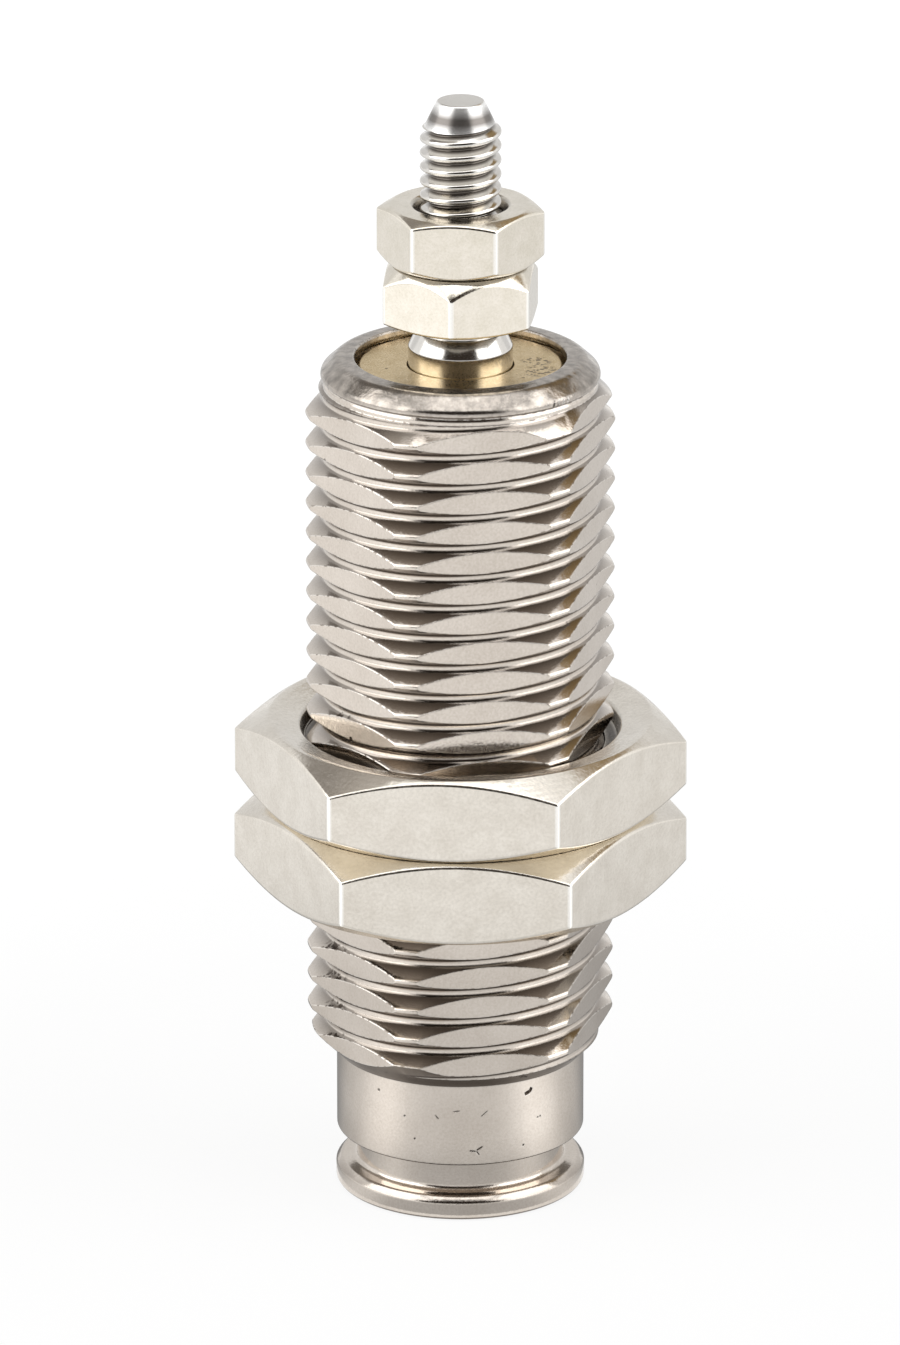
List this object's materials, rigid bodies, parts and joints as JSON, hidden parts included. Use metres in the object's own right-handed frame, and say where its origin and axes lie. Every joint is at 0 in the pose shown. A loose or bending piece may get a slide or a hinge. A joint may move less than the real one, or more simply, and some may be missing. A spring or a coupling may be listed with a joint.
{
  "type": "needle cylinder",
  "caption": "Panel-mounted needle cylinder: threaded nickel-plated body with panel nuts and a spring-returned piston rod with lock nuts on its threaded end.",
  "frame": {"origin": "centre of the rear face, on the cylinder's axis", "axes": "+Z along the axis towards the rod's tip; -Y towards the picture's viewer, +X to its right"},
  "size_m": [0.022, 0.0198, 0.0547],
  "materials": {
    "body_nickel": "turned brass, bright nickel plate with fine pits",
    "panel_nut_nickel": "milled brass, satin nickel plate",
    "rod_nut_nickel": "steel, satin nickel plate",
    "collar_brass": "bare brass, faced on the lathe",
    "bush_bronze": "sintered bronze, oil filled, matt",
    "rod_steel": "stainless steel, ground and polished",
    "spring_steel": "drawn stainless spring wire",
    "piston_brass": "bare brass, turned",
    "clip_steel": "spring steel, blackened",
    "seal_rubber": "nitrile rubber, matt",
    "bumper_rubber": "cast urethane rubber, amber"
  },
  "bodies": {
    "barrel": {"cylinder_body": "body_nickel", "guide_collar": "collar_brass", "guide_bush": "bush_bronze", "rear_bumper": "bumper_rubber", "return_spring": "spring_steel"},
    "rod": {"piston_rod": "rod_steel", "piston": "piston_brass", "piston_seal": "seal_rubber", "piston_clip": "clip_steel", "front_bumper": "bumper_rubber"},
    "panel_nut_rear": {"panel_nut_rear": "panel_nut_nickel"},
    "panel_nut_front": {"panel_nut_front": "panel_nut_nickel"},
    "rod_nut_inner": {"rod_nut_inner": "rod_nut_nickel"},
    "rod_nut_outer": {"rod_nut_outer": "rod_nut_nickel"}
  },
  "joints": [
    {"name": "rod_slide", "type": "slide", "parent": "barrel", "child": "rod", "axis": [0, 0, 1], "range_m": [0, 0.015], "stiffness_N_per_m": 257, "springref_m": -0.0112, "deforming": ["return_spring"]},
    {"name": "front_panel_nut_travel", "type": "slide", "parent": "barrel", "child": "panel_nut_front", "axis": [0, 0, 1], "range_m": [0, 0.015]},
    {"name": "rear_panel_nut_travel", "type": "slide", "parent": "barrel", "child": "panel_nut_rear", "axis": [0, 0, 1], "range_m": [-0.006, 0]},
    {"name": "outer_rod_nut_travel", "type": "slide", "parent": "rod", "child": "rod_nut_outer", "axis": [0, 0, 1], "range_m": [0, 0.0035]},
    {"name": "inner_rod_nut_travel", "type": "slide", "parent": "rod", "child": "rod_nut_inner", "axis": [0, 0, 1], "range_m": [-0.0007, 0]}
  ]
}
